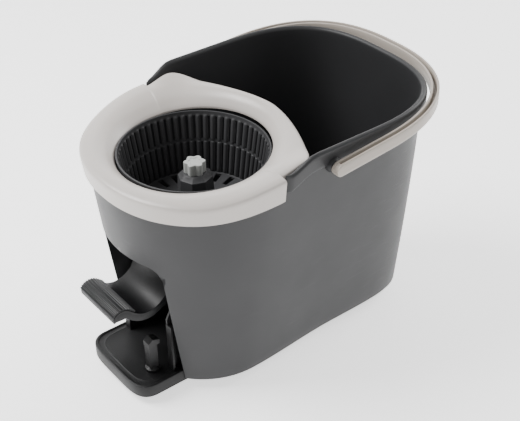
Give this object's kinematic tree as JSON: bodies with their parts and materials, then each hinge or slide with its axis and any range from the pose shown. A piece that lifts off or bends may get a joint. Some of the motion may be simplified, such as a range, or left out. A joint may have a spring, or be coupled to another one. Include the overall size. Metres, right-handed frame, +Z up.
{
  "type": "spin mop bucket",
  "caption": "Oval mop bucket with a foot-pedal spin-dry basket under a ring collar, a geared pedal drive in a front recess and a swinging carrying bail.",
  "frame": {"origin": "on the floor under the middle of the object's box", "axes": "+Z up, the pedal points to -Y, the tub and the lying bail reach to +Y, X across; left-right symmetric outside"},
  "size_m": [0.34, 0.4952, 0.3382],
  "materials": {
    "tub_grey": "satin moulded polypropylene, fine grain",
    "collar_grey": "smooth satin moulded plastic, light warm grey",
    "basket_grey": "satin moulded plastic",
    "star_grey": "matte moulded plastic, light grey green",
    "bail_taupe": "satin moulded plastic, taupe",
    "pedal_black": "satin glass-filled plastic",
    "gear_white": "acetal, natural",
    "steel": "zinc-plated steel",
    "bronze": "sintered bronze",
    "foot_rubber": "matte rubber"
  },
  "bodies": {
    "tub": {"bucket": "tub_grey", "collar": "collar_grey", "base_plate": "pedal_black", "housing_left": "pedal_black", "housing_right": "pedal_black", "bridge": "pedal_black", "front_strut": "pedal_black", "lower_bush": "bronze", "upper_bush": "bronze", "shaft_bush_left": "bronze", "shaft_bush_right": "bronze", "pedal_axle": "steel", "axle_clip_left": "steel", "axle_clip_right": "steel", "return_spring": "steel", "pivot_peg_left": "steel", "pivot_peg_right": "steel", "foot_1": "foot_rubber", "foot_2": "foot_rubber", "foot_3": "foot_rubber", "foot_4": "foot_rubber", "housing_screw_1": "steel", "housing_screw_2": "steel", "housing_screw_3": "steel", "housing_screw_4": "steel"},
    "treadle": {"pedal": "pedal_black", "tread_pad": "pedal_black", "sector_gear": "gear_white"},
    "lay_shaft": {"cross_shaft": "steel", "pinion": "gear_white", "drive_bevel": "gear_white"},
    "clutch": {"spindle_bevel": "gear_white", "clutch_washer": "steel", "clutch_roller_1": "steel", "clutch_roller_2": "steel", "clutch_roller_3": "steel"},
    "spinner": {"spin_basket": "basket_grey", "drive_star": "star_grey", "spindle": "steel", "spindle_clip": "steel"},
    "bail_body": {"bail": "bail_taupe"}
  },
  "joints": [
    {"name": "pedal_press", "type": "hinge", "parent": "tub", "child": "treadle", "pos_m": [0, -0.12875, 0.14], "axis": [1, 0, 0], "range_deg": [0, 28], "stiffness_Nm_per_rad": 1.2, "springref_deg": -34.38},
    {"name": "lay_shaft_spin", "type": "hinge", "parent": "tub", "child": "lay_shaft", "pos_m": [0, -0.08875, 0.11438], "axis": [1, 0, 0], "range_deg": [-149.83, 0.5]},
    {"name": "clutch_spin", "type": "hinge", "parent": "tub", "child": "clutch", "pos_m": [0, -0.08875, 0.11438], "axis": [0, 0, 1], "range_deg": [-0.5, 448.5]},
    {"name": "basket_spin", "type": "hinge", "parent": "tub", "child": "spinner", "pos_m": [0, -0.08875, 0.2], "axis": [0, 0, 1], "continuous": true},
    {"name": "bail_swing", "type": "hinge", "parent": "tub", "child": "bail_body", "pos_m": [0, 0.00625, 0.3085], "axis": [1, 0, 0], "range_deg": [0, 110]}
  ],
  "couplings": [
    {"joint": "lay_shaft_spin", "follows": "pedal_press", "ratio": -5.3333},
    {"joint": "clutch_spin", "follows": "pedal_press", "ratio": 16}
  ]
}
